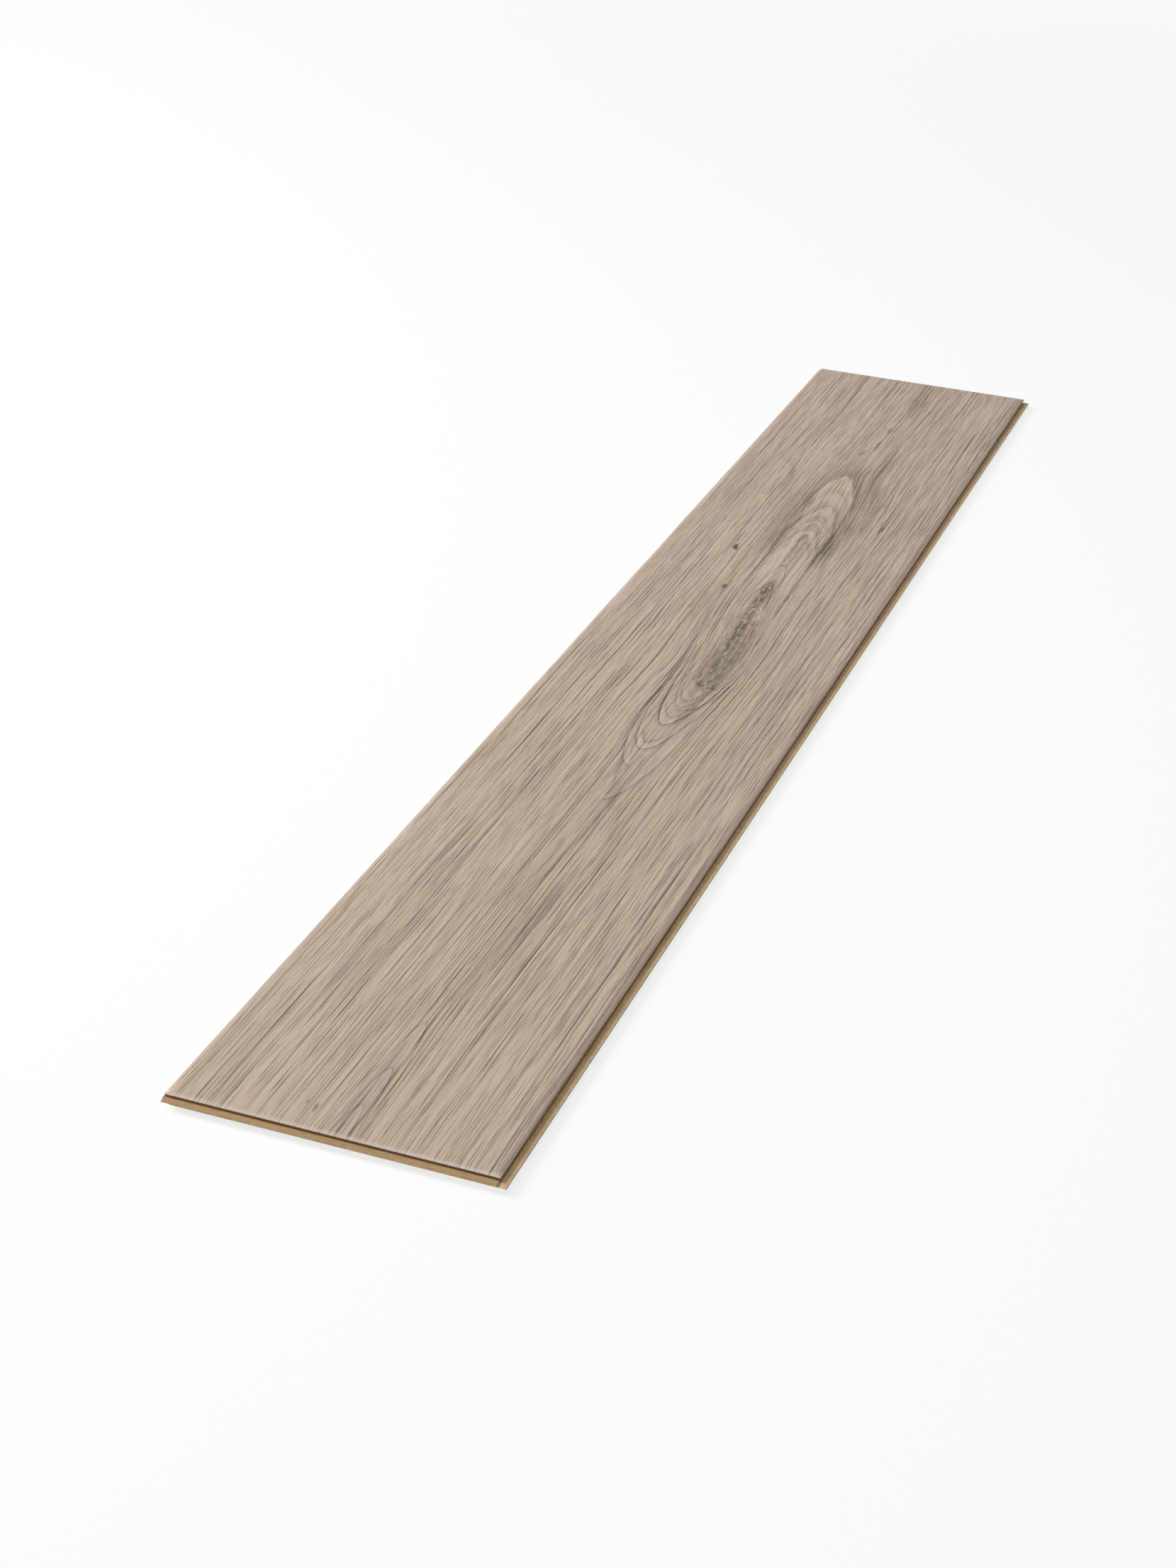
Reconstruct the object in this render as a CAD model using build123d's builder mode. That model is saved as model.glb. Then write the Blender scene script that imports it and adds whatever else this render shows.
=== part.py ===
"""Laminate floor plank: a fibreboard core with a printed decor layer pressed over its rolled top edges.

All four edges carry a glueless click joint. The right long edge and the near end have the tongue, the
left long edge and the far end have the groove with its longer lower lip. A plank is tilted, pushed in
and laid flat, so the belly of the tongue and the bed of the groove are arcs about the seam's top line,
and a ridge on the lip springs into the recess behind the belly. Both joints are milled right through:
the plank is the section across its width, crossed with the section along its length.

Frame: X across the width, Y along the length, Z up, in millimetres. The origin is on the underside,
at the centre of the area that the laid plank covers.
"""

import os
from dataclasses import dataclass
from math import hypot, sqrt

from build123d import *

# The face that shows when the plank is laid, from seam to seam, and the whole thickness.
COVER_LENGTH = 1285.0
COVER_WIDTH = 192.0
THICKNESS = 8.0

# Printed paper and clear overlay, pressed into one layer.
DECOR_THICKNESS = 0.3

# Rolled top edge on all four sides: an arc that leaves the face at a tangent.
ROLL_WIDTH = 5.0
ROLL_DEPTH = 1.1

# Fits of the click joint.
SLIDE_CLEARANCE = 0.08  # over the tongue and under its belly
NOSE_GAP = 0.3  # from the tongue's nose to the end of the groove
LOCK_CLEARANCE = 0.05  # between the two locking faces
LIP_GAP = 0.3  # round the lip's end and over its ridge

# Small forms of the joint.
CONTACT_HEIGHT = 0.7  # the core's part of the faces that close the seam
POCKET_DEPTH = 0.4  # dust pocket over the root of the tongue
MOUTH_CHAMFER = 0.3  # lead-in of the groove
LOCK_SETBACK = 1.7  # from the seam in to the locking face of the tongue edge
LOCK_LEAN = 0.3  # of the locking faces, over the height of the ridge
RIDGE_HEIGHT = 0.75  # over the bed of the groove
RIDGE_CREST = 0.75  # width of the flat on the ridge
LIP_CHAMFER = 0.4  # on the end of the lip, above and below
CORNER_LAP = 0.8  # upper share of the tongue's height at the near right corner

# How far each section runs past the edges that the other one mills.
OVERRUN = 20.0

CORE_TOP = THICKNESS - DECOR_THICKNESS
CORE_EDGE = CORE_TOP - ROLL_DEPTH
SEAM_TOP = THICKNESS - ROLL_DEPTH

RIDGE_START = LOCK_SETBACK + LOCK_CLEARANCE
LIP_REACH = RIDGE_START + LOCK_LEAN + RIDGE_CREST + LIP_CHAMFER
RECESS_DEPTH = LIP_REACH + LIP_GAP


@dataclass(frozen=True)
class ClickJoint:
    """A tongue and the groove that takes it, sized from the seam and the decor face."""

    cover: float  # from seam to seam
    tongue_depth: float  # from the decor face down to the tongue
    tongue_reach: float  # out from the seam
    nose_radius: float

    @property
    def half(self) -> float:
        return self.cover / 2

    @property
    def tongue_top(self) -> float:
        return THICKNESS - self.tongue_depth

    @property
    def nose_start(self) -> float:
        """Where the flat top of the tongue turns into its nose, out from the seam."""
        return self.tongue_reach - self.nose_radius

    @property
    def groove_depth(self) -> float:
        return self.tongue_reach + NOSE_GAP

    @property
    def nose_drop(self) -> float:
        """Centre of the nose, down from the seam's top line."""
        return SEAM_TOP - self.tongue_top + self.nose_radius

    @property
    def belly_radius(self) -> float:
        """Arc about the seam's top line that the nose runs into."""
        return hypot(self.nose_start, self.nose_drop) + self.nose_radius

    @property
    def nose_end(self) -> tuple[float, float]:
        """Where the nose runs into the belly: out from the seam, and height."""
        stretch = self.belly_radius / (self.belly_radius - self.nose_radius)
        return self.nose_start * stretch, SEAM_TOP - self.nose_drop * stretch


# The end tongue lies higher than the long groove, so it runs on over it to the left seam.
LONG_JOINT = ClickJoint(
    cover=COVER_WIDTH, tongue_depth=3.7, tongue_reach=4.9, nose_radius=0.5
)
END_JOINT = ClickJoint(
    cover=COVER_LENGTH, tongue_depth=2.8, tongue_reach=4.5, nose_radius=0.5
)


def arc_height(radius: float, out: float) -> float:
    """Height of an arc about the seam's top line, at a distance from the seam."""
    return SEAM_TOP - sqrt(radius**2 - out**2)


def rolled_top(half: float, top: float) -> None:
    """Draws the top of a section from the left seam to the right one: roll, flat, roll."""
    flat = half - ROLL_WIDTH
    edge = top - ROLL_DEPTH
    roll_radius = (ROLL_WIDTH**2 + ROLL_DEPTH**2) / (2 * ROLL_DEPTH)
    RadiusArc((-half, edge), (-flat, top), roll_radius)
    Line((-flat, top), (flat, top))
    RadiusArc((flat, top), (half, edge), roll_radius)


def tongue_edge(joint: ClickJoint) -> None:
    """Draws the tongue edge downwards: seam face, dust pocket, tongue, belly and locking recess."""
    seam = joint.half
    contact = CORE_EDGE - CONTACT_HEIGHT
    pocket = seam - POCKET_DEPTH
    nose_start = (seam + joint.nose_start, joint.tongue_top)
    nose_out, nose_height = joint.nose_end
    nose_end = (seam + nose_out, nose_height)
    lock_height = arc_height(joint.belly_radius, LOCK_SETBACK)
    lock = (seam - LOCK_SETBACK, lock_height)
    ceiling = lock_height + RIDGE_HEIGHT + LIP_GAP
    lean = LOCK_LEAN * (RIDGE_HEIGHT + LIP_GAP) / RIDGE_HEIGHT
    wall = seam - RECESS_DEPTH
    Polyline(
        (seam, CORE_EDGE),
        (seam, contact),
        (pocket, contact - POCKET_DEPTH),
        (pocket, joint.tongue_top),
        nose_start,
    )
    TangentArc(nose_start, nose_end, tangent=(1, 0))
    RadiusArc(nose_end, lock, joint.belly_radius)
    Polyline(
        lock,
        (seam - LOCK_SETBACK - lean, ceiling),
        (wall, ceiling),
        (wall, 0),
    )


def groove_edge(joint: ClickJoint) -> None:
    """Draws the groove edge upwards: lower lip with its ridge, bed, groove and upper lip."""
    seam = -joint.half
    bed_radius = joint.belly_radius + SLIDE_CLEARANCE
    groove_top = joint.tongue_top + SLIDE_CLEARANCE
    groove_depth = joint.groove_depth
    lip_end = seam - LIP_REACH
    foot_height = arc_height(bed_radius, RIDGE_START)
    foot = (seam - RIDGE_START, foot_height)
    crest = foot_height + RIDGE_HEIGHT
    bed_end = (seam + groove_depth, arc_height(bed_radius, groove_depth))
    Polyline(
        (lip_end + LIP_CHAMFER, 0),
        (lip_end, LIP_CHAMFER),
        (lip_end, crest - LIP_CHAMFER),
        (lip_end + LIP_CHAMFER, crest),
        (seam - RIDGE_START - LOCK_LEAN, crest),
        foot,
    )
    RadiusArc(foot, bed_end, -bed_radius)
    Polyline(
        bed_end,
        (seam + groove_depth, groove_top),
        (seam + MOUTH_CHAMFER, groove_top),
        (seam, groove_top + MOUTH_CHAMFER),
        (seam, CORE_EDGE),
    )


def core_outline(joint: ClickJoint) -> None:
    """Draws the closed section of the core across one pair of edges."""
    rolled_top(joint.half, CORE_TOP)
    tongue_edge(joint)
    groove_edge(joint)
    Line((joint.half - RECESS_DEPTH, 0), (LIP_CHAMFER - joint.half - LIP_REACH, 0))


def cap_outline(joint: ClickJoint) -> None:
    """Draws the closed section from the edge of the core up to the decor face."""
    rolled_top(joint.half, THICKNESS)
    Polyline(
        (joint.half, SEAM_TOP),
        (joint.half, CORE_EDGE),
        (-joint.half, CORE_EDGE),
        (-joint.half, SEAM_TOP),
    )


# Fibreboard core: the section across the width, milled at its ends by the section along the length.
with BuildPart() as hdf_core:
    with BuildSketch(Plane.front):
        with BuildLine():
            core_outline(LONG_JOINT)
        make_face()
    extrude(amount=END_JOINT.half + OVERRUN, both=True)
    with BuildSketch(Plane.left):
        with BuildLine():
            core_outline(END_JOINT)
        make_face()
    extrude(amount=LONG_JOINT.half + OVERRUN, both=True, mode=Mode.INTERSECT)
    # The left lip stops at the near end's recess, which takes the lip of the plank laid there.
    with BuildSketch():
        with Locations((-LONG_JOINT.half, RECESS_DEPTH - END_JOINT.half)):
            Rectangle(OVERRUN, OVERRUN, align=Align.MAX)
    extrude(amount=THICKNESS, mode=Mode.SUBTRACT)
    # Planks laid end to end share the corner of the tongue: the near end keeps its upper part,
    with BuildSketch():
        with Locations((LONG_JOINT.half - SLIDE_CLEARANCE, -END_JOINT.half)):
            Rectangle(OVERRUN, OVERRUN, align=(Align.MIN, Align.MAX))
    extrude(amount=LONG_JOINT.tongue_top - CORNER_LAP, mode=Mode.SUBTRACT)
    # and the far end, where the groove cuts the tongue off, gets its lower part back.
    with BuildSketch(Plane.front.offset(SLIDE_CLEARANCE - END_JOINT.half)):
        with BuildLine():
            core_outline(LONG_JOINT)
        make_face()
        lap_top = LONG_JOINT.tongue_top - CORNER_LAP - SLIDE_CLEARANCE
        with Locations((LONG_JOINT.half, 0)):
            Rectangle(OVERRUN, lap_top, align=Align.MIN, mode=Mode.INTERSECT)
    extrude(amount=END_JOINT.groove_depth)

# Decor layer: what lies between the rolled face of the plank and that of the core.
with BuildPart() as decor_layer:
    with BuildSketch(Plane.front):
        with BuildLine():
            cap_outline(LONG_JOINT)
        make_face()
    extrude(amount=END_JOINT.half + OVERRUN, both=True)
    with BuildSketch(Plane.left):
        with BuildLine():
            cap_outline(END_JOINT)
        make_face()
    extrude(amount=LONG_JOINT.half + OVERRUN, both=True, mode=Mode.INTERSECT)
    add(hdf_core.part, mode=Mode.SUBTRACT)

hdf_core.part.label = "hdf_core"
decor_layer.part.label = "decor_layer"

os.makedirs("parts", exist_ok=True)
export_step(hdf_core.part, "parts/hdf_core.step")
export_step(decor_layer.part, "parts/decor_layer.step")
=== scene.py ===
"""Dresses the laminate floor plank: oak decor sheet, milled fibreboard core, floor, light and camera."""

from __future__ import annotations

import logging
import math
from dataclasses import dataclass
from enum import Enum
from typing import Any, Mapping, Optional, Sequence, Union

import bpy
from mathutils import Matrix, Vector

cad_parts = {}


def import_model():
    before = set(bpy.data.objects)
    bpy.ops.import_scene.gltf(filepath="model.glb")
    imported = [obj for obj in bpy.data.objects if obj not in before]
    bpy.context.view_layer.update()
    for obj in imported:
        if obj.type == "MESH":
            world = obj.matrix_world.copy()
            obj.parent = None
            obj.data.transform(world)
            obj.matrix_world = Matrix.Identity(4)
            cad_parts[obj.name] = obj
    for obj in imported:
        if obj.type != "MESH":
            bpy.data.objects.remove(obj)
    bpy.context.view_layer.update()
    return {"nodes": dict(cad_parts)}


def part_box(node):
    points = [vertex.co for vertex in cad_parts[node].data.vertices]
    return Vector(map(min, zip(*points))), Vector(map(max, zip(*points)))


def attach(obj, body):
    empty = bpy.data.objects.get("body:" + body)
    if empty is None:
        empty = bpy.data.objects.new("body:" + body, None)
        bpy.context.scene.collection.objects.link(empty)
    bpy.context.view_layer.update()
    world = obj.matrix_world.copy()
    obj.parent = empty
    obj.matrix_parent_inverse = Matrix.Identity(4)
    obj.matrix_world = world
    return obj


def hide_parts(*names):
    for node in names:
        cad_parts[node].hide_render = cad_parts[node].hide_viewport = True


LOG = logging.getLogger("plank")
MM = 0.001
Value = Union["Flow", float]
Triple = tuple[float, float, float]


def linear(red: int, green: int, blue: int) -> tuple[float, float, float, float]:
    """Turns a display colour into the linear colour that a shader takes.

    Args:
        red: Red, 0 to 255.
        green: Green, 0 to 255.
        blue: Blue, 0 to 255.

    Returns:
        The linear colour with full alpha.
    """
    levels = [value / 255 for value in (red, green, blue)]
    parts = [v / 12.92 if v <= 0.04045 else ((v + 0.055) / 1.055) ** 2.4 for v in levels]
    return (parts[0], parts[1], parts[2], 1.0)


class Flow:
    """A value in a node tree; arithmetic on it adds Math nodes."""

    def __init__(self, net: NodeNet, socket: bpy.types.NodeSocket) -> None:
        """Wraps one output socket of the net's tree."""
        self.net = net
        self.socket = socket

    def __add__(self, other: Value) -> Flow:
        """Sum."""
        return self.net.math("ADD", self, other)

    def __sub__(self, other: Value) -> Flow:
        """Difference."""
        return self.net.math("SUBTRACT", self, other)

    def __rsub__(self, other: Value) -> Flow:
        """Difference from a plain number."""
        return self.net.math("SUBTRACT", other, self)

    def __mul__(self, other: Value) -> Flow:
        """Product."""
        return self.net.math("MULTIPLY", self, other)

    def __truediv__(self, other: Value) -> Flow:
        """Quotient."""
        return self.net.math("DIVIDE", self, other)

    __radd__ = __add__
    __rmul__ = __mul__


class NodeNet:
    """Builds nodes in one shader or geometry tree."""

    def __init__(self, tree: bpy.types.NodeTree) -> None:
        """Keeps the tree that the nodes go into."""
        self.tree = tree

    def feed(self, socket: bpy.types.NodeSocket, value: Any) -> None:
        """Sets a socket to a value, or links a flow or an output socket to it.

        Args:
            socket: The input socket.
            value: A plain value, a flow or an output socket.
        """
        if isinstance(value, Flow):
            self.tree.links.new(value.socket, socket)
        elif isinstance(value, bpy.types.NodeSocket):
            self.tree.links.new(value, socket)
        else:
            socket.default_value = value

    def node(
        self,
        kind: str,
        settings: Optional[Mapping[str, Any]] = None,
        inputs: Optional[Mapping[Union[int, str], Any]] = None,
    ) -> bpy.types.Node:
        """Adds one node.

        Args:
            kind: The node's type name.
            settings: Its properties, with a ramp's stops under the name stops.
            inputs: Values, flows or output sockets for its sockets, by index or name.

        Returns:
            The new node.
        """
        made = self.tree.nodes.new(kind)
        for name, value in (settings or {}).items():
            if name == "stops":
                self.set_stops(made.color_ramp, value)
            else:
                setattr(made, name, value)
        for key, value in (inputs or {}).items():
            self.feed(made.inputs[key], value)
        return made

    @staticmethod
    def set_stops(ramp: bpy.types.ColorRamp, stops: Sequence[tuple[float, Sequence[float]]]) -> None:
        """Gives a colour ramp its stops.

        Args:
            ramp: The ramp of a new node, which has two stops.
            stops: The place and the colour of each stop, in order.
        """
        for _ in range(len(stops) - 2):
            ramp.elements.new(0.5)
        for element, (place, colour) in zip(ramp.elements, stops):
            element.position = place
            element.color = colour

    def math(self, operation: str, *values: Value) -> Flow:
        """Adds one Math node on the given values."""
        made = self.node("ShaderNodeMath", {"operation": operation}, dict(enumerate(values)))
        return Flow(self, made.outputs[0])

    def smooth(self, value: Value, low: float, high: float) -> Flow:
        """Eases from 0 to 1 between two levels.

        Args:
            value: The value to ease.
            low: Where the result is 0; it may be the larger number.
            high: Where the result is 1.

        Returns:
            The eased value.
        """
        made = self.node(
            "ShaderNodeMapRange",
            {"interpolation_type": "SMOOTHSTEP"},
            {0: value, 1: low, 2: high, 3: 0.0, 4: 1.0},
        )
        return Flow(self, made.outputs[0])

    def join(self, x: Value, y: Value, z: Value = 0.0) -> bpy.types.NodeSocket:
        """Makes a vector of three values."""
        return self.node("ShaderNodeCombineXYZ", None, {0: x, 1: y, 2: z}).outputs[0]

    def split(self, vector: bpy.types.NodeSocket) -> tuple[Flow, Flow, Flow]:
        """Takes a vector apart.

        Args:
            vector: The vector, in metres.

        Returns:
            Its three parts, in millimetres.
        """
        made = self.node("ShaderNodeSeparateXYZ", None, {0: vector})
        x, y, z = (Flow(self, socket) for socket in made.outputs)
        return x / MM, y / MM, z / MM

    def noise(self, x: Value, y: Value, z: Value, detail: float = 1.0, rough: float = 0.5) -> Flow:
        """Adds a noise whose features are about one unit wide in the given coordinates.

        Args:
            x: First coordinate.
            y: Second coordinate.
            z: Third coordinate, or a plain number that picks another pattern.
            detail: Octaves above the first.
            rough: Weight of each octave against the one before.

        Returns:
            The noise, from 0 to 1 with its middle at 0.5.
        """
        sockets = {"Vector": self.join(x, y, z), "Scale": 1.0, "Detail": detail, "Roughness": rough}
        made = self.node("ShaderNodeTexNoise", {"noise_dimensions": "3D"}, sockets)
        return Flow(self, made.outputs[0])

    def ramp(self, value: Flow, stops: Sequence[tuple[float, Sequence[float]]]) -> bpy.types.NodeSocket:
        """Colours a value by a ramp's stops."""
        return self.node("ShaderNodeValToRGB", {"stops": stops}, {0: value}).outputs[0]

    def curve(self, value: Flow, points: Sequence[tuple[float, float]]) -> Flow:
        """Maps a value by a curve.

        Args:
            value: The value, from 0 to 1.
            points: The places that the curve goes through; it is level past both ends.

        Returns:
            The mapped value.
        """
        made = self.node("ShaderNodeFloatCurve", None, {"Value": value})
        made.mapping.extend = "HORIZONTAL"
        drawn = made.mapping.curves[0]
        drawn.points[0].location = points[0]
        drawn.points[1].location = points[-1]
        for place in points[1:-1]:
            drawn.points.new(*place)
        made.mapping.update()
        return Flow(self, made.outputs["Value"])

    def blend(self, factor: Value, first: Any, second: Any, how: str = "MIX") -> bpy.types.NodeSocket:
        """Mixes two colours.

        Args:
            factor: How much of the second colour there is.
            first: The first colour or its socket.
            second: The second colour or its socket.
            how: The Mix node's blend type.

        Returns:
            The mixed colour's socket.
        """
        made = self.node(
            "ShaderNodeMix", {"data_type": "RGBA", "blend_type": how}, {0: factor, 6: first, 7: second}
        )
        return made.outputs[2]


class MarkKind(Enum):
    """What a mark of the printed oak is."""

    KNOT = "knot"
    PATCH = "patch"
    BURR = "burr"


class Flank(Enum):
    """The side of the heart that an arc runs along."""

    BOTH = 0.0
    LEFT = -1.0
    RIGHT = 1.0


class RingShade(Enum):
    """How a growth ring is shaded from its inside, 0, out to 1; a level of 0.5 leaves the oak as it is."""

    LINE = ((0.0, 0.50), (0.38, 0.42), (0.45, 0.46), (0.50, 1.00), (0.56, 0.66), (0.92, 0.50), (1.0, 0.50))
    EDGE = ((0.0, 0.50), (0.22, 0.42), (0.44, 0.40), (0.54, 0.74), (0.68, 0.66), (1.0, 0.50))


@dataclass(frozen=True)
class Lens:
    """A stretch where the straight grain parts round the heart: its tips along the plank, in mm.

    The bow is the square of the half width for each millimetre behind a tip.
    """

    near_tip: float
    far_tip: float
    bow: float
    half_width: float


@dataclass(frozen=True)
class Arc:
    """A growth ring that the saw cut to a pointed arch, with its tip and its reach in mm.

    It opens towards the far end, or towards the near end where the bow is negative.
    """

    tip: float
    bow: float
    reach: float
    strength: float
    flank: Flank = Flank.BOTH
    shade: RingShade = RingShade.LINE
    straighten: float = 180.0
    soft: float = 1.0


@dataclass(frozen=True)
class Mark:
    """A knot, grey patch or burr of the printed oak, in mm from the plank's middle.

    Its half sizes are across and along. The tilt is how far it leans across for each millimetre along.
    """

    kind: MarkKind
    x: float
    y: float
    across: float
    along: float
    strength: float = 1.0
    tilt: float = 0.0


@dataclass(frozen=True)
class Streak:
    """A long soft dark line that follows the grain, in mm: its lane, its two ends and its width."""

    lane: float
    start: float
    end: float
    width: float
    strength: float


@dataclass(frozen=True)
class Fibres:
    """Thin dark lines along the grain, one to a lane: lane, half width and usual length in mm."""

    lane: float
    half_width: float
    length: float
    strength: float
    seed: float


@dataclass
class OakField:
    """What the oak figure gives to a material or a mesh, each from 0 to about 1."""

    dark: Flow
    grey: Flow
    knot: Flow
    warm: Flow
    relief: Flow
    pores: Flow
    lines: Flow


# The two hearts, where the straight grain parts.
LENSES = (
    Lens(near_tip=-168, far_tip=386, bow=5.0, half_width=25),
    Lens(near_tip=-1400, far_tip=-526, bow=1.15, half_width=13),
)

# Growth rings: those of the main heart from near to far, then those of the near end.
ARCS = (
    Arc(tip=-187, bow=5.2, reach=330, strength=0.75, flank=Flank.LEFT),
    Arc(tip=-238, bow=5.2, reach=330, strength=0.75, flank=Flank.RIGHT),
    Arc(tip=-161, bow=5.2, reach=260, strength=0.85),
    Arc(tip=-120, bow=5.2, reach=220, strength=0.95),
    Arc(tip=-90, bow=5.2, reach=170, strength=0.50),
    Arc(tip=-78, bow=5.2, reach=150, strength=0.40),
    Arc(tip=-95, bow=16.0, reach=120, strength=0.60, flank=Flank.RIGHT, straighten=40),
    Arc(tip=98, bow=-6.0, reach=26, strength=-0.55),
    Arc(tip=90, bow=-6.0, reach=26, strength=-0.45),
    Arc(tip=142, bow=-1.6, reach=90, strength=0.75),
    Arc(tip=179, bow=-1.6, reach=110, strength=0.60),
    Arc(tip=232, bow=-5.1, reach=60, strength=0.40, shade=RingShade.EDGE, soft=1.3),
    Arc(tip=256, bow=-5.1, reach=80, strength=0.75, shade=RingShade.EDGE, soft=1.6),
    Arc(tip=284, bow=-5.1, reach=90, strength=0.65, shade=RingShade.EDGE, soft=1.6),
    Arc(tip=310, bow=-5.1, reach=120, strength=0.95, shade=RingShade.EDGE, soft=2.0),
    Arc(tip=345, bow=-5.1, reach=110, strength=0.50, shade=RingShade.EDGE, soft=1.8),
    Arc(tip=385, bow=-5.1, reach=150, strength=1.05, shade=RingShade.EDGE, soft=2.4),
    Arc(tip=-526, bow=-1.15, reach=150, strength=0.45),
    Arc(tip=-574, bow=-1.15, reach=110, strength=0.55),
    Arc(tip=-612, bow=-1.15, reach=70, strength=0.50),
)

# Knots, grey patches and burrs.
MARKS = (
    Mark(MarkKind.KNOT, -40.5, 199.5, 3.0, 7.0, 1.2),
    Mark(MarkKind.KNOT, -43.5, 218.0, 1.3, 18.0, 0.5),
    Mark(MarkKind.KNOT, -25.0, 122.0, 1.8, 5.5, 0.8),
    Mark(MarkKind.KNOT, 20.6, -50.5, 2.0, 3.6, 0.9),
    Mark(MarkKind.KNOT, 24.5, 117.5, 1.7, 6.0, 0.5),
    Mark(MarkKind.KNOT, 56.0, 281.0, 2.6, 7.0, 0.65),
    Mark(MarkKind.KNOT, 53.5, 293.0, 1.6, 9.0, 0.45),
    Mark(MarkKind.KNOT, -2.5, 442.0, 2.0, 8.0, 0.55, 0.15),
    Mark(MarkKind.KNOT, 5.4, 467.0, 1.7, 11.0, 0.6),
    Mark(MarkKind.KNOT, 4.6, 506.0, 1.6, 6.0, 0.5),
    Mark(MarkKind.KNOT, 47.5, 74.0, 1.2, 3.5, 0.45),
    Mark(MarkKind.KNOT, 28.0, 226.0, 1.6, 12.0, 0.5, 0.2),
    Mark(MarkKind.KNOT, -16.9, -624.5, 1.2, 5.0, 0.6),
    Mark(MarkKind.KNOT, -22.4, -618.0, 1.0, 4.0, 0.5),
    Mark(MarkKind.PATCH, 1.5, -196.0, 2.2, 44.0, 0.9, -0.16),
    Mark(MarkKind.PATCH, 9.5, -238.0, 5.0, 40.0, 0.5),
    Mark(MarkKind.PATCH, 15.0, -165.0, 3.0, 60.0, 0.5),
    Mark(MarkKind.PATCH, 15.5, -96.0, 7.0, 22.0, 0.9),
    Mark(MarkKind.PATCH, 17.0, -55.0, 10.0, 34.0, 0.5),
    Mark(MarkKind.PATCH, 13.5, 2.0, 11.0, 66.0, 1.0),
    Mark(MarkKind.PATCH, 7.0, 124.0, 7.0, 26.0, 1.0),
    Mark(MarkKind.PATCH, 5.5, 163.0, 4.0, 20.0, 0.5),
    Mark(MarkKind.PATCH, 26.0, 60.0, 9.0, 90.0, 0.3),
    Mark(MarkKind.PATCH, 30.0, 240.0, 9.0, 60.0, 0.7, 0.1),
    Mark(MarkKind.PATCH, 37.0, 322.0, 5.0, 70.0, 0.9, -0.12),
    Mark(MarkKind.PATCH, 25.0, 385.0, 6.0, 70.0, 0.7, -0.06),
    Mark(MarkKind.PATCH, -25.0, 262.0, 7.0, 90.0, 0.6, -0.03),
    Mark(MarkKind.PATCH, 0.0, 402.0, 8.0, 32.0, 0.8),
    Mark(MarkKind.PATCH, 11.0, 592.0, 9.0, 48.0, 0.8),
    Mark(MarkKind.PATCH, 4.0, -596.0, 8.0, 56.0, 0.7),
    Mark(MarkKind.PATCH, 20.0, -400.0, 4.0, 60.0, 0.45),
    Mark(MarkKind.BURR, 14.0, -12.0, 15.0, 82.0, 1.0),
    Mark(MarkKind.BURR, 9.0, 75.0, 11.0, 60.0, 0.9),
    Mark(MarkKind.BURR, 7.0, 122.0, 8.0, 40.0, 0.7),
    Mark(MarkKind.BURR, 25.0, 214.0, 9.0, 42.0, 0.6),
    Mark(MarkKind.BURR, 6.0, 250.0, 20.0, 60.0, 0.5),
)

# Long dark lines beside the hearts.
STREAKS = (
    Streak(lane=34, start=-660, end=-120, width=2.0, strength=0.18),
    Streak(lane=17, start=-470, end=-300, width=2.6, strength=0.18),
    Streak(lane=21, start=330, end=660, width=1.5, strength=0.30),
    Streak(lane=-45, start=195, end=560, width=1.3, strength=0.32),
    Streak(lane=-66, start=-560, end=-250, width=1.0, strength=0.26),
    Streak(lane=-48, start=-140, end=140, width=1.0, strength=0.28),
    Streak(lane=44, start=-220, end=200, width=1.6, strength=0.26),
    Streak(lane=-78, start=-40, end=420, width=1.0, strength=0.22),
    Streak(lane=72, start=230, end=560, width=1.0, strength=0.24),
    Streak(lane=-88, start=380, end=600, width=1.0, strength=0.26),
)

# Pore lines, from wide apart to close, and those that bend round the hearts.
FIBRES = (
    Fibres(lane=9.0, half_width=0.85, length=300, strength=0.32, seed=1.5),
    Fibres(lane=4.1, half_width=0.60, length=100, strength=0.32, seed=2.5),
    Fibres(lane=2.2, half_width=0.44, length=52, strength=0.38, seed=3.5),
    Fibres(lane=1.3, half_width=0.30, length=28, strength=0.36, seed=5.5),
)
RING_FIBRES = Fibres(lane=2.1, half_width=0.45, length=60, strength=0.30, seed=4.5)


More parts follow.
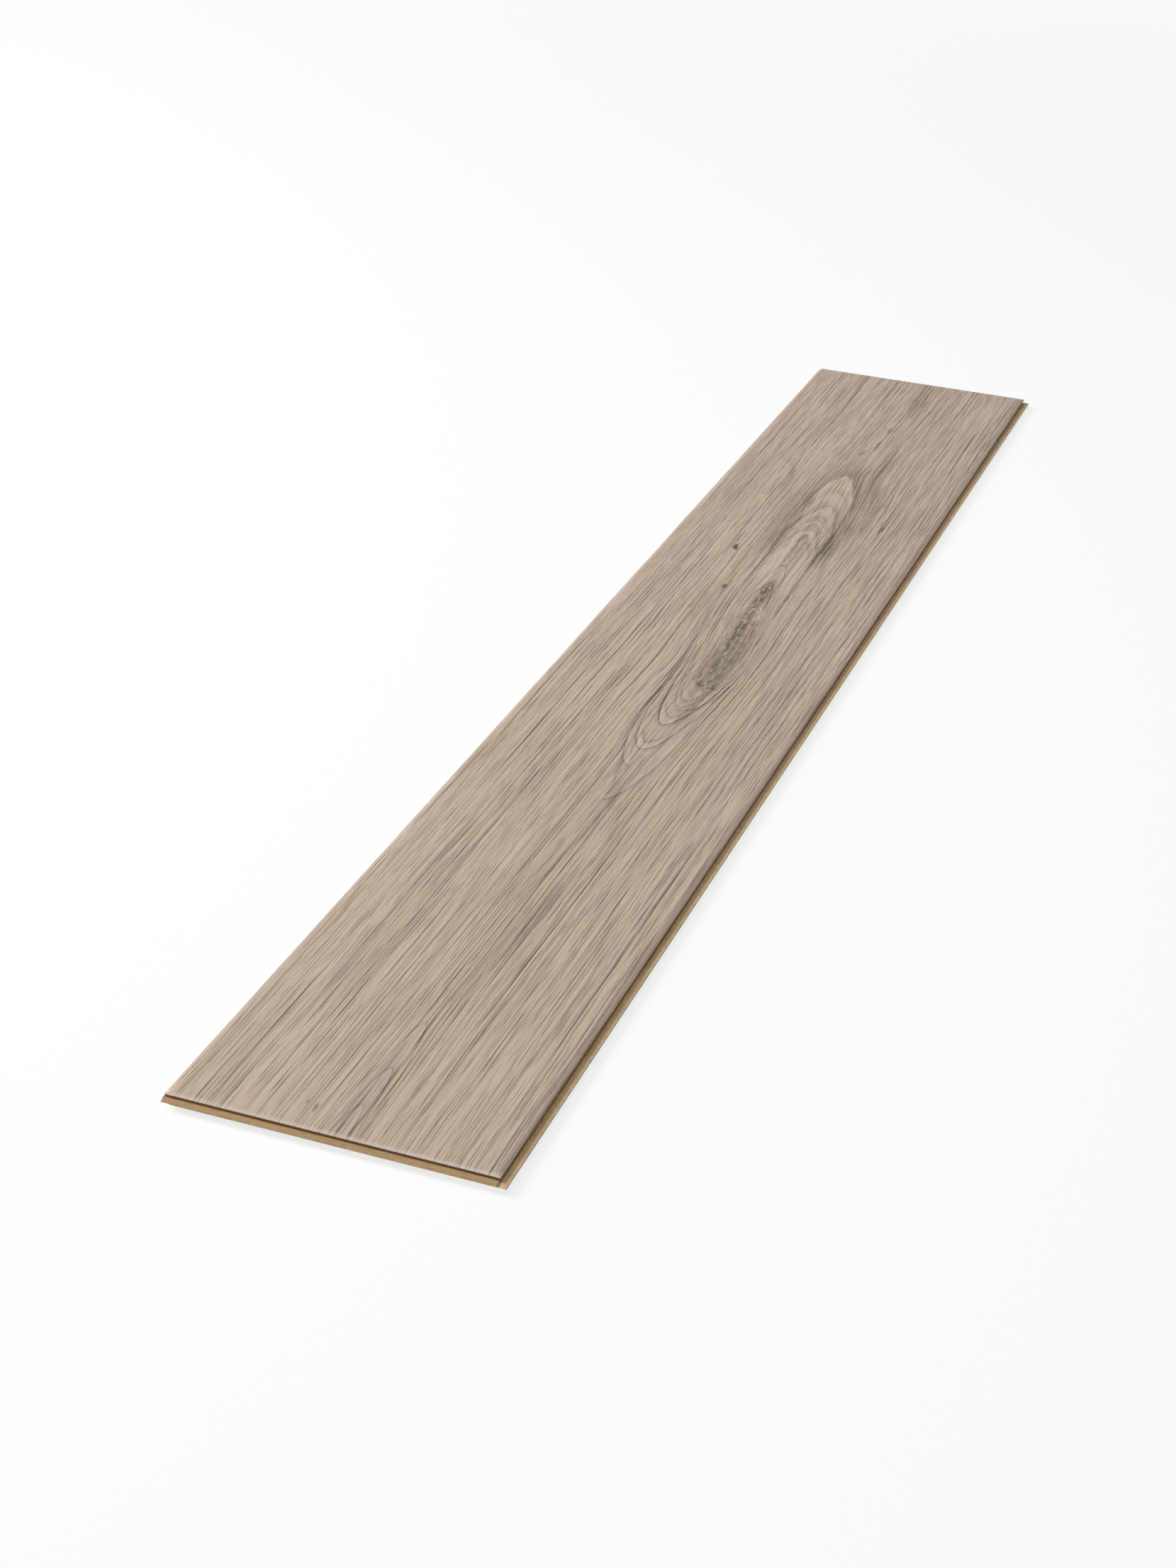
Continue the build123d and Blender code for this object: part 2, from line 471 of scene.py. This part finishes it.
@dataclass(frozen=True)
class OakFigure:
    """The grain of the oak print: fibres that part round a heart, growth rings, knots and burrs, in mm."""

    heart_soft: float = 45.0
    heart_square: float = 700.0
    lane_fade: float = 1100.0
    lean_fade: float = 1500.0
    tip_blend: float = 200.0
    base: float = 0.13
    painted_near_light: float = 0.07
    broad: float = 0.24
    medium: float = 0.20
    fine: float = 0.95
    ring: float = 1.15
    ring_span: float = 12.0
    heart_place: float = 5.0
    near_fray: float = 1.5
    far_fray: float = 4.0

    def bell(self, net: NodeNet, y: Flow, centre: float, reach: float) -> Flow:
        """Gives a soft hump along the plank, 1 at its centre."""
        away = (y - centre) / reach
        return net.math("EXPONENT", away * away * -1)

    def heart_line(self, net: NodeNet, x: Flow, y: Flow) -> Flow:
        """Gives how far the heart lies from the plank's middle, with less of its bends at the edges."""
        bends = self.bell(net, y, -15, 85) * 8 - self.bell(net, y, 390, 90) * 5
        return self.heart_place + bends * net.math("EXPONENT", x * x / -self.lean_fade)

    def opening(self, net: NodeNet, y: Flow) -> Flow:
        """Gives how far the grain stands open along the plank.

        Args:
            net: The tree to build in.
            y: Place along the plank.

        Returns:
            The square of the opening's half width.
        """
        total: Value = 0.0
        for lens in LENSES:
            ends = net.math(
                "SMOOTH_MIN", (y - lens.near_tip) * lens.bow, (lens.far_tip - y) * lens.bow, self.tip_blend
            )
            held = net.math("SMOOTH_MIN", ends, lens.half_width**2, self.tip_blend)
            total = net.math("MAXIMUM", held, 0.0) + total
        return total

    def marks(self, net: NodeNet, x: Flow, y: Flow, kind: MarkKind) -> Flow:
        """Adds up all marks of one kind.

        Args:
            net: The tree to build in.
            x: Place across the plank.
            y: Place along the plank.
            kind: The marks to take.

        Returns:
            Their summed strength.
        """
        total: Value = 0.0
        for mark in (m for m in MARKS if m.kind is kind):
            place = net.join(x - y * mark.tilt if mark.tilt else x, y)
            scale = (1 / mark.across, 1 / mark.along, 0.0)
            shift = ((mark.y * mark.tilt - mark.x) / mark.across, -mark.y / mark.along, 0.0)
            moved = net.node(
                "ShaderNodeVectorMath", {"operation": "MULTIPLY_ADD"}, {0: place, 1: scale, 2: shift}
            )
            away = net.node("ShaderNodeVectorMath", {"operation": "LENGTH"}, {0: moved.outputs[0]})
            total = net.smooth(Flow(net, away.outputs["Value"]), 1.25, 0.35) * mark.strength + total
        return total

    def streaks(self, net: NodeNet, lane: Flow, y: Flow) -> Flow:
        """Adds up the long dark lines that follow the grain.

        Args:
            net: The tree to build in.
            lane: Place across the grain.
            y: Place along the plank.

        Returns:
            How much darker they make the oak.
        """
        total: Value = 0.0
        for streak in STREAKS:
            away = net.math("ABSOLUTE", lane - streak.lane)
            body = net.smooth(away, streak.width, 0.0) * streak.strength
            middle = (streak.start + streak.end) / 2
            half = (streak.end - streak.start) / 2
            span = net.smooth(net.math("ABSOLUTE", y - middle), half, half * 0.55)
            total = body * span + total
        return total

    def arcs(self, net: NodeNet, across: Flow, y: Flow) -> Flow:
        """Adds up the growth rings.

        Args:
            net: The tree to build in.
            across: Distance from the heart.
            y: Place along the plank.

        Returns:
            How much darker they make the oak.
        """
        square = across * across
        steep = square * 4
        total: Value = 0.0
        for arc in ARCS:
            behind = y - arc.tip if arc.bow > 0 else arc.tip - y
            bend = behind / arc.straighten
            width_square = behind * abs(arc.bow) / net.math("SQRT", bend * bend + 1)
            gap = (square - width_square) / net.math("SQRT", steep + arc.bow**2)
            fade = net.smooth(behind, arc.reach, arc.reach * 0.3) * arc.strength
            if arc.flank is not Flank.BOTH:
                fade = fade * net.smooth(across * arc.flank.value, -2.0, 2.0)
            spot = gap / (self.ring_span * arc.soft) + 0.5
            total = (net.curve(spot, arc.shade.value) - 0.5) * fade + total
        return total

    def fibres(self, net: NodeNet, lane: Flow, y: Flow, kind: Fibres) -> Flow:
        """Draws one kind of thin lines, each in its own lane, that come and go along the plank.

        Args:
            net: The tree to build in.
            lane: Place across the grain.
            y: Place along the plank.
            kind: The lines to draw.

        Returns:
            The lines, from 0 to 1.
        """
        count = lane / kind.lane
        cell = net.math("FLOOR", count)
        chance = net.node(
            "ShaderNodeTexWhiteNoise", {"noise_dimensions": "2D"}, {"Vector": net.join(cell, kind.seed)}
        )
        middle = Flow(net, chance.outputs["Value"]) * 0.5 + 0.25
        away = net.math("ABSOLUTE", count - cell - middle) * kind.lane
        line = net.smooth(away, kind.half_width, kind.half_width * 0.2)
        shown = net.noise(cell * 3.7, y / kind.length, kind.seed, 1.0)
        return line * net.smooth(shown, 0.44, 0.64)

    def field(self, net: NodeNet, place: bpy.types.NodeSocket) -> OakField:
        """Builds the whole figure in a tree.

        Args:
            net: The shader or geometry tree to build in.
            place: The point on the plank, in metres.

        Returns:
            The parts of the figure.
        """
        # Lanes along the grain, pushed aside where a heart opens it.
        x, y, _ = net.split(place)
        drift = net.noise(x / 95, y / 400, 1.0) - 0.5
        sway = net.noise(x / 22, y / 110, 2.0, 2.0) - 0.5
        across = x + drift * 4 + sway * 2.4 - self.heart_line(net, x, y)
        square = across * across
        opening = self.opening(net, y)
        parted = opening * net.math("EXPONENT", square / -self.lane_fade)
        pressed = (square + self.heart_soft) / (square + parted + self.heart_soft)
        lane = across * net.math("SQRT", pressed)
        radius = net.math("SQRT", net.math("MAXIMUM", square + self.heart_square - opening, 1.0))
        inside = net.smooth(square / (opening + 20), 1.15, 0.75) * net.smooth(opening, 10.0, 90.0)

        # Marks with rough outlines.
        ragged = net.noise(x / 4, y / 14, 3.0, 2.0, 0.6) - 0.5
        torn = net.noise(x / 4, y / 14, 13.0, 2.0, 0.6) - 0.5
        mottle = net.noise(x / 2.2, y / 10, 9.0, 4.0, 0.65) - 0.5
        rough_x = x + ragged * 5
        rough_y = y + torn * 22
        knot = net.math("MINIMUM", self.marks(net, rough_x, rough_y, MarkKind.KNOT), 1.0)
        patch = self.marks(net, rough_x, rough_y, MarkKind.PATCH)
        burr = net.math("MINIMUM", self.marks(net, rough_x, rough_y, MarkKind.BURR), 1.0)

        # Grain, from broad bands to pore lines, growth rings and curls.
        broad = net.noise(lane / 26, y / 560, 5.0, 1.0) - 0.5
        medium = net.noise(lane / 5.5, y / 320, 6.0, 2.0) - 0.5
        fine = net.noise(lane / 1.6, y / 130, 7.0, 2.0, 0.6) - 0.5
        straight = net.smooth(pressed, 0.04, 0.4)
        lines: Value = 0.0
        for kind in FIBRES:
            lines = self.fibres(net, lane, y, kind) * (straight * kind.strength) + lines
        bent = radius + (ragged * 2 + mottle * burr * 2)
        lines = self.fibres(net, bent, y, RING_FIBRES) * (inside * RING_FIBRES.strength) + lines
        frayed = self.near_fray + net.smooth(y, 170.0, 260.0) * (self.far_fray - self.near_fray)
        ring_x = across + (ragged + sway) * frayed
        ring_y = y + torn * (frayed * 3)
        rings = self.arcs(net, ring_x, ring_y) * self.ring
        curl = net.math("ABSOLUTE", net.math("FRACT", radius / 2.6 + mottle * 2.4) - 0.5)
        curls = net.smooth(curl, 0.26, 0.05) * burr

        # What the print and the press take from all this.
        grain = broad * self.broad + medium * self.medium + fine * self.fine
        dark = grain + lines + rings + self.streaks(net, lane, y) + self.base
        # Painted light: the oak is made paler towards the near end, where more light would fall.
        dark = dark - net.smooth(y, -420.0, -640.0) * self.painted_near_light
        dark = dark + patch * (0.20 + mottle * 0.5) + burr * (0.22 + mottle * 1.1) + curls * 0.2
        warm = net.noise(lane / 16, y / 300, 10.0, 1.0)
        pores = lines * 1.6 + fine * 0.8 + 0.2
        relief = pores + rings * 0.8 + curls * 0.3 + knot * 0.4
        return OakField(dark, patch, knot, warm, relief, pores, lines)


class Finish:
    """A material with a node net and a Principled shader."""

    def __init__(self, name: str) -> None:
        """Makes the empty material.

        Args:
            name: The material's name.
        """
        self.material = bpy.data.materials.new(name)
        self.material.use_nodes = True
        tree = self.material.node_tree
        tree.nodes.clear()
        self.net = NodeNet(tree)
        self.shader = self.net.node("ShaderNodeBsdfPrincipled")
        self.net.node("ShaderNodeOutputMaterial", None, {0: self.shader.outputs[0]})
        self.place = self.net.node("ShaderNodeTexCoord").outputs["Object"]

    def bump(self, height: Flow, distance: float, strength: float) -> None:
        """Raises the surface's shading.

        Args:
            height: The height, from 0 to 1.
            distance: The depth of a full height, in metres.
            strength: The Bump node's strength.
        """
        made = self.net.node(
            "ShaderNodeBump", None, {"Strength": strength, "Distance": distance, "Height": height}
        )
        self.net.feed(self.shader.inputs["Normal"], made.outputs[0])


@dataclass(frozen=True)
class OakPrint:
    """The decor finish: greige oak print under a clear satin overlay, embossed in register, with painted
    shade on its long rolled edges and a painted highlight on its end rolled edges.
    """

    figure: OakFigure
    face: float
    end: float
    roll_start: float = 0.06
    roll_full: float = 0.7
    end_start: float = 4.5
    end_full: float = 3.0
    emboss_depth: float = 0.22 * MM
    emboss_strength: float = 0.8
    coat_roughness: float = 0.2
    specular: float = 0.1

    def dress(self) -> bpy.types.Material:
        """Builds the material.

        Returns:
            The oak print.
        """
        finish = Finish("oak_print")
        net = finish.net
        oak = self.figure.field(net, finish.place)
        tone = net.ramp(
            oak.dark,
            (
                (0.00, linear(198, 180, 163)),
                (0.30, linear(173, 155, 139)),
                (0.55, linear(146, 129, 114)),
                (0.80, linear(116, 101, 88)),
                (1.00, linear(84, 71, 60)),
            ),
        )
        tone = net.blend(net.smooth(oak.warm, 0.35, 0.65), tone, (1.01, 0.995, 0.98, 1.0), "MULTIPLY")
        tone = net.blend(net.math("MINIMUM", oak.grey * 0.2, 0.25), tone, linear(146, 137, 128))
        tone = net.blend(oak.knot, tone, linear(84, 68, 56))
        y, z = net.split(finish.place)[1:]
        rolled = net.smooth(z, self.face - self.roll_start, self.face - self.roll_full)
        from_middle = net.math("ABSOLUTE", y)
        end_edge = rolled * net.smooth(from_middle, self.end - self.end_start, self.end - self.end_full)
        long_edge = rolled - end_edge
        # Painted shade: the long rolled edges are tinted darker.
        tone = net.blend(long_edge * 0.3, tone, linear(150, 134, 124))
        # Painted highlight: the end rolled edges are tinted paler and greyer, as a sheen would show.
        tone = net.blend(end_edge * 0.5, tone, linear(204, 194, 186))
        net.feed(finish.shader.inputs["Base Color"], tone)
        net.feed(finish.shader.inputs["Coat Weight"], long_edge * 0.3 + end_edge * 0.8)
        finish.shader.inputs["Coat Roughness"].default_value = self.coat_roughness
        net.feed(finish.shader.inputs["Roughness"], 0.44 + oak.lines * 0.5)
        finish.shader.inputs["Specular IOR Level"].default_value = self.specular
        finish.bump(1 - oak.pores, self.emboss_depth, self.emboss_strength)
        return finish.material


@dataclass(frozen=True)
class MilledFibreboard:
    """The core finish: pressed wood fibre with cutter lines, darker towards its faces, partly as denser
    skin and partly as painted shade under the decor edge, and a balancing paper underneath.
    """

    decor_end: float
    board_middle: float = 4.0
    cut_depth: float = 0.05 * MM
    cut_strength: float = 0.5
    specular: float = 0.25

    def dress(self) -> bpy.types.Material:
        """Builds the material.

        Returns:
            The fibreboard.
        """
        finish = Finish("milled_fibreboard")
        net = finish.net
        x, y, z = net.split(finish.place)
        at_end = net.smooth(net.math("ABSOLUTE", y), self.decor_end - 1.5, self.decor_end)
        fibre = net.noise(x / 0.55, y / 0.55, z / 0.22, 3.0, 0.6) - 0.5
        clump = net.noise(x / 5, y / 5, z / 1.6, 2.0) - 0.5
        along = net.noise(x / 0.3, y / 60, z / 0.3, 1.0) - 0.5
        crosswise = net.noise(x / 60, y / 0.3, z / 0.3, 1.0) - 0.5
        cut = along * (1 - at_end) + crosswise * at_end
        # Darker towards the board's faces: partly the board's denser skin, partly painted shade on the seam
        # walls under the decor edge; the paler middle lightens the tongue tops that lie in shadow.
        skin_and_painted_shade = net.smooth(net.math("ABSOLUTE", z - self.board_middle), 0.4, 1.9)
        tone_at = 0.74 + fibre * 0.5 + clump * 0.3 + cut * 0.4 - skin_and_painted_shade * 0.5
        tone = net.ramp(
            tone_at,
            (
                (0.0, linear(122, 94, 60)),
                (0.35, linear(156, 126, 88)),
                (0.6, linear(180, 150, 111)),
                (0.75, linear(214, 184, 144)),
                (1.0, linear(228, 204, 170)),
            ),
        )
        paper = net.smooth(z, 0.06, 0.02)
        weave = net.noise(x / 1.4, y / 6, 21.0, 3.0, 0.6)
        paper_tone = net.ramp(weave, ((0.25, linear(150, 134, 108)), (0.75, linear(184, 168, 140))))
        net.feed(finish.shader.inputs["Base Color"], net.blend(paper, tone, paper_tone))
        net.feed(finish.shader.inputs["Roughness"], 0.78 - fibre * 0.2)
        finish.shader.inputs["Specular IOR Level"].default_value = self.specular
        finish.bump(fibre + cut * 0.8 + 0.5, self.cut_depth, self.cut_strength)
        return finish.material


@dataclass
class DecorSheet:
    """The printed sheet with its rolled edges, made finer than the CAD layer; sizes in mm."""

    half_width: float
    half_length: float
    face: float
    rim: float = 6.9
    thickness: float = 0.3
    roll_width: float = 5.0
    roll_steps: int = 10
    cells_across: int = 384
    cells_along: int = 206
    bake_strips: int = 3
    bake_gap: float = 6.0
    emboss_depth: float = 0.05
    crease: float = 40.0

    @classmethod
    def over(cls, node: str) -> DecorSheet:
        """Takes the sheet's outline from a CAD node's box."""
        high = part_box(node)[1] / MM
        return cls(high.x, high.y, high.z)

    def drop(self, inset: float) -> float:
        """Gives how far the face has rolled down.

        Args:
            inset: Distance in from the edge.

        Returns:
            The drop below the flat face.
        """
        fall = self.face - self.rim
        radius = (self.roll_width**2 + fall**2) / (2 * fall)
        reach = max(self.roll_width - inset, 0.0)
        return radius - math.sqrt(radius**2 - reach**2)

    def inset(self, x: float, y: float) -> float:
        """Gives a place's distance in from the nearest edge."""
        return min(self.half_width - abs(x), self.half_length - abs(y))

    def lines(self, half: float, cells: int) -> list[float]:
        """Gives the grid lines in one direction, close over the rolled edges and even between.

        Args:
            half: Half the sheet's size in that direction.
            cells: Cells between the rolled edges.

        Returns:
            The places of the lines.
        """
        step = self.roll_width / self.roll_steps
        edge = [-half + step * k for k in range(self.roll_steps)]
        inner = half - self.roll_width
        flat = [-inner + 2 * inner * k / cells for k in range(cells + 1)]
        return edge + flat + [-value for value in reversed(edge)]

    def build(self) -> bpy.types.Mesh:
        """Builds the plain closed sheet, with its emboss weights and its bake map.

        Returns:
            The mesh, in metres.
        """
        columns = self.lines(self.half_width, self.cells_across)
        rows = self.lines(self.half_length, self.cells_along)
        wide, long = len(columns), len(rows)
        points = [(x, y, self.face - self.drop(self.inset(x, y))) for y in rows for x in columns]
        weights = [min(self.inset(x, y) / self.roll_width, 1.0) for y in rows for x in columns]
        faces = []
        for j in range(long - 1):
            for i in range(wide - 1):
                first = j * wide + i
                faces.append((first, first + 1, first + wide + 1, first + wide))
        rim = list(range(wide))
        rim += [j * wide + wide - 1 for j in range(1, long)]
        rim += [(long - 1) * wide + i for i in range(wide - 2, -1, -1)]
        rim += [j * wide for j in range(long - 2, 0, -1)]
        outer = rim
        for inset in (0.0, 1.5, 3.0, self.roll_width):
            scale_x = 1 - inset / self.half_width
            scale_y = 1 - inset / self.half_length
            level = self.face - self.drop(inset) - self.thickness
            inner = list(range(len(points), len(points) + len(rim)))
            points += [(points[k][0] * scale_x, points[k][1] * scale_y, level) for k in rim]
            for k in range(len(rim)):
                after = (k + 1) % len(rim)
                faces.append((outer[k], inner[k], inner[after], outer[after]))
            outer = inner
        faces += self.underside(outer, wide, long)
        mesh = bpy.data.meshes.new("oak_decor")
        mesh.from_pydata([Vector(point) * MM for point in points], [], faces)
        weights += [0.0] * (len(points) - len(weights))
        mesh.attributes.new("emboss", "FLOAT", "POINT").data.foreach_set("value", weights)
        self.map_for_bake(mesh, rows, wide)
        return mesh

    @staticmethod
    def underside(ring: Sequence[int], wide: int, long: int) -> list[tuple[int, ...]]:
        """Closes the sheet underneath.

        Args:
            ring: The innermost ring's points, anticlockwise from the near left corner.
            wide: Points along the near side.
            long: Points along the right side.

        Returns:
            The faces, which point down.
        """
        right = [ring[wide - 1 + j] for j in range(long)]
        left = [ring[-j % len(ring)] for j in range(long)]
        near = [*ring[:wide], right[1], left[1]]
        far = [*ring[wide + long - 2 : 2 * wide + long - 2], left[-2], right[-2]]
        middle = [(left[j + 1], right[j + 1], right[j], left[j]) for j in range(1, long - 2)]
        return [tuple(reversed(near)), *middle, tuple(reversed(far))]

    def map_for_bake(self, mesh: bpy.types.Mesh, rows: Sequence[float], wide: int) -> None:
        """Folds the long face into strips side by side, so that a square map shows it finely.

        Args:
            mesh: The sheet.
            rows: The grid lines along the plank.
            wide: Points in each of them.
        """
        gap = self.bake_gap
        side = self.bake_strips * (2 * self.half_width + gap) + gap
        row_count = len(rows) - 1
        top_count = row_count * (wide - 1)
        grid_points = len(rows) * wide
        under_place, under_width, under_length, rim_spread = 0.87, 0.1, 0.85, 1.1
        layer = mesh.uv_layers.new(name="OFBake")
        places = []
        for face in mesh.polygons:
            row = face.index // (wide - 1)
            strip = row * self.bake_strips // row_count
            start = rows[-(-strip * row_count // self.bake_strips)]
            for corner in face.vertices:
                x, y, _ = mesh.vertices[corner].co / MM
                if face.index < top_count:
                    shift = gap + strip * (2 * self.half_width + gap) + self.half_width
                    places += [(y - start + gap) / side, (x + shift) / side]
                else:
                    spread = rim_spread if corner < grid_points else 1.0
                    across = x * spread / (2 * self.half_width)
                    along = y * spread / (2 * self.half_length)
                    places += [under_place + under_width * across, 0.5 + under_length * along]
        layer.data.foreach_set("uv", places)

    def emboss_tree(self, figure: OakFigure, finish: bpy.types.Material) -> bpy.types.NodeTree:
        """Builds the tree that presses the grain into the face.

        Args:
            figure: The oak figure that the print shows, too.
            finish: The sheet's material.

        Returns:
            The tree, with the depth in metres as its named input.
        """
        tree = bpy.data.node_groups.new("emboss_in_register", "GeometryNodeTree")
        tree.interface.new_socket("Sheet", in_out="INPUT", socket_type="NodeSocketGeometry")
        tree.interface.new_socket("Emboss depth", in_out="INPUT", socket_type="NodeSocketFloat")
        tree.interface.new_socket("Sheet", in_out="OUTPUT", socket_type="NodeSocketGeometry")
        net = NodeNet(tree)
        given = net.node("NodeGroupInput").outputs
        place = net.node("GeometryNodeInputPosition").outputs[0]
        weight = net.node("GeometryNodeInputNamedAttribute", {"data_type": "FLOAT"}, {"Name": "emboss"})
        relief = figure.field(net, place).relief
        pressed = net.math("MINIMUM", net.math("MAXIMUM", relief, 0.0), 1.0)
        depth = pressed * Flow(net, weight.outputs[0]) * Flow(net, given["Emboss depth"])
        offset = net.join(0.0, 0.0, depth * -1)
        moved = net.node(
            "GeometryNodeSetPosition", None, {"Geometry": given["Sheet"], "Offset": offset}
        )
        real = net.node("GeometryNodeRealizeInstances", None, {0: moved.outputs[0]})
        dressed = net.node(
            "GeometryNodeSetMaterial", None, {"Geometry": real.outputs[0], "Material": finish}
        )
        net.node("NodeGroupOutput", None, {0: dressed.outputs[0]})
        return tree

    def add(self, figure: OakFigure, finish: bpy.types.Material) -> bpy.types.Object:
        """Makes the sheet, embosses it and sets it in place of the CAD layer.

        Args:
            figure: The oak figure.
            finish: The sheet's material.

        Returns:
            The finished piece.
        """
        plain = self.build()
        plain.materials.append(finish)
        draft = bpy.data.objects.new("oak_decor_draft", plain)
        bpy.context.scene.collection.objects.link(draft)
        tree = self.emboss_tree(figure, finish)
        press = draft.modifiers.new("emboss", "NODES")
        press.node_group = tree
        for item in tree.interface.items_tree:
            if item.in_out == "INPUT" and item.name == "Emboss depth":
                press[item.identifier] = self.emboss_depth * MM
        graph = bpy.context.evaluated_depsgraph_get()
        mesh = bpy.data.meshes.new_from_object(draft.evaluated_get(graph))
        bpy.data.objects.remove(draft)
        mesh.name = "oak_decor"
        mesh.attributes.remove(mesh.attributes["emboss"])
        mesh.polygons.foreach_set("use_smooth", [True] * len(mesh.polygons))
        mesh.set_sharp_from_angle(angle=math.radians(self.crease))
        piece = bpy.data.objects.new("oak_decor", mesh)
        bpy.context.scene.collection.objects.link(piece)
        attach(piece, "root")
        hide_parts("decor_layer")
        return piece


@dataclass
class FibreCore:
    """The board under the sheet, which keeps its CAD shape."""

    node: str = "hdf_core"

    def dress(self, nodes: Mapping[str, bpy.types.Object], finish: bpy.types.Material) -> bpy.types.Object:
        """Gives the CAD board its material.

        Args:
            nodes: The frame's CAD nodes.
            finish: The fibreboard.

        Returns:
            The board.
        """
        board = nodes[self.node]
        board.data.materials.clear()
        board.data.materials.append(finish)
        return board


@dataclass(frozen=True)
class SoftLamp:
    """A square studio lamp: its place and side in metres, and its power in watts."""

    name: str
    place: Triple
    side: float
    power: float


@dataclass(frozen=True)
class Studio:
    """The plain white floor, the soft lamps and the photograph's viewpoint, in metres."""

    lamps: tuple[SoftLamp, ...] = (
        SoftLamp("key", (-3.2, -0.5, 2.2), 2.0, 179.0),
        SoftLamp("top", (-0.3, -0.6, 3.0), 1.2, 20.0),
    )
    ambient: float = 0.14
    floor_half: float = 12.0
    floor_level: float = -0.0002
    floor_glow: float = 0.79
    floor_pale: float = 0.96
    white_from: float = 1.0
    white_at: float = 4.0
    camera_place: Triple = (0.4947, -1.6930, 0.8310)
    camera_aim: Triple = (-0.0104, -0.2212, 0.0073)
    camera_roll: float = 2.43
    focal_pixels: float = 3807.7
    long_side_pixels: float = 2212.0
    sensor: float = 36.0

    def add_floor(self) -> bpy.types.Object:
        """Lays the floor, white to the eye and still shadowed by the plank.

        Returns:
            The floor.
        """
        half = self.floor_half
        corners = [(-half, -half), (half, -half), (half, half), (-half, half)]
        mesh = bpy.data.meshes.new("studio_floor")
        mesh.from_pydata([(x, y, self.floor_level) for x, y in corners], [], [(0, 1, 2, 3)])
        material = bpy.data.materials.new("studio_white")
        material.use_nodes = True
        material.node_tree.nodes.clear()
        net = NodeNet(material.node_tree)
        seen = net.node("ShaderNodeLightPath").outputs
        matt = net.node("ShaderNodeBsdfDiffuse", None, {"Color": (*[self.floor_pale] * 3, 1.0)})
        glow = net.node("ShaderNodeEmission", None, {"Color": (1.0, 1.0, 1.0, 1.0), "Strength": 1.0})
        watched = Flow(net, seen["Is Camera Ray"]) + Flow(net, seen["Is Glossy Ray"])
        watched = watched + Flow(net, seen["Is Transmission Ray"])
        place = net.node("ShaderNodeTexCoord").outputs["Object"]
        away = net.node("ShaderNodeVectorMath", {"operation": "LENGTH"}, {0: place}).outputs["Value"]
        far = net.smooth(Flow(net, away), self.white_from, self.white_at)
        share = net.math("MINIMUM", watched, 1.0) * (far * (1 - self.floor_glow) + self.floor_glow)
        mixed = net.node("ShaderNodeMixShader", None, {0: share, 1: matt.outputs[0], 2: glow.outputs[0]})
        net.node("ShaderNodeOutputMaterial", None, {0: mixed.outputs[0]})
        mesh.materials.append(material)
        floor = bpy.data.objects.new("studio_floor", mesh)
        bpy.context.scene.collection.objects.link(floor)
        return floor

    def add_light(self) -> None:
        """Hangs the lamps and fills the room with a soft white."""
        for lamp in self.lamps:
            light = bpy.data.lights.new(lamp.name, "AREA")
            light.energy = lamp.power
            light.size = lamp.side
            holder = bpy.data.objects.new(lamp.name, light)
            holder.location = lamp.place
            holder.rotation_euler = (-Vector(lamp.place)).to_track_quat("-Z", "Y").to_euler()
            bpy.context.scene.collection.objects.link(holder)
        world = bpy.data.worlds.new("studio_room")
        world.use_nodes = True
        world.node_tree.nodes.clear()
        net = NodeNet(world.node_tree)
        seen = net.node("ShaderNodeLightPath").outputs
        watched = Flow(net, seen["Is Camera Ray"]) + Flow(net, seen["Is Glossy Ray"])
        watched = net.math("MINIMUM", watched + Flow(net, seen["Is Transmission Ray"]), 1.0)
        strength = self.ambient + watched * (1.0 - self.ambient)
        room = net.node("ShaderNodeBackground", None, {"Color": (1.0, 1.0, 1.0, 1.0), "Strength": strength})
        net.node("ShaderNodeOutputWorld", None, {0: room.outputs[0]})
        bpy.context.scene.world = world
        bpy.context.scene.view_settings.view_transform = "Standard"

    def add_camera(self) -> bpy.types.Object:
        """Sets the camera at the photograph's viewpoint.

        Returns:
            The camera.
        """
        lens = bpy.data.cameras.new("photo_camera")
        lens.sensor_width = self.sensor
        lens.lens = self.focal_pixels / self.long_side_pixels * self.sensor
        camera = bpy.data.objects.new("photo_camera", lens)
        aim = Vector(self.camera_aim) - Vector(self.camera_place)
        turn = aim.to_track_quat("-Z", "Y").to_matrix().to_4x4()
        roll = Matrix.Rotation(math.radians(self.camera_roll), 4, "Z")
        camera.matrix_world = Matrix.Translation(self.camera_place) @ turn @ roll
        bpy.context.scene.collection.objects.link(camera)
        bpy.context.scene.camera = camera
        return camera


def main() -> None:
    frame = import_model()
    studio = Studio()
    studio.add_camera()
    studio.add_floor()
    studio.add_light()
    figure = OakFigure()
    sheet = DecorSheet.over("decor_layer")
    decor = sheet.add(figure, OakPrint(figure, sheet.face, sheet.half_length).dress())
    LOG.info("%s: %d faces", decor.name, len(decor.data.polygons))
    core = FibreCore().dress(frame["nodes"], MilledFibreboard(sheet.half_length).dress())
    LOG.info("%s: %d faces", core.name, len(core.data.polygons))


if __name__ == "__main__":
    logging.basicConfig(level=logging.INFO)
    main()
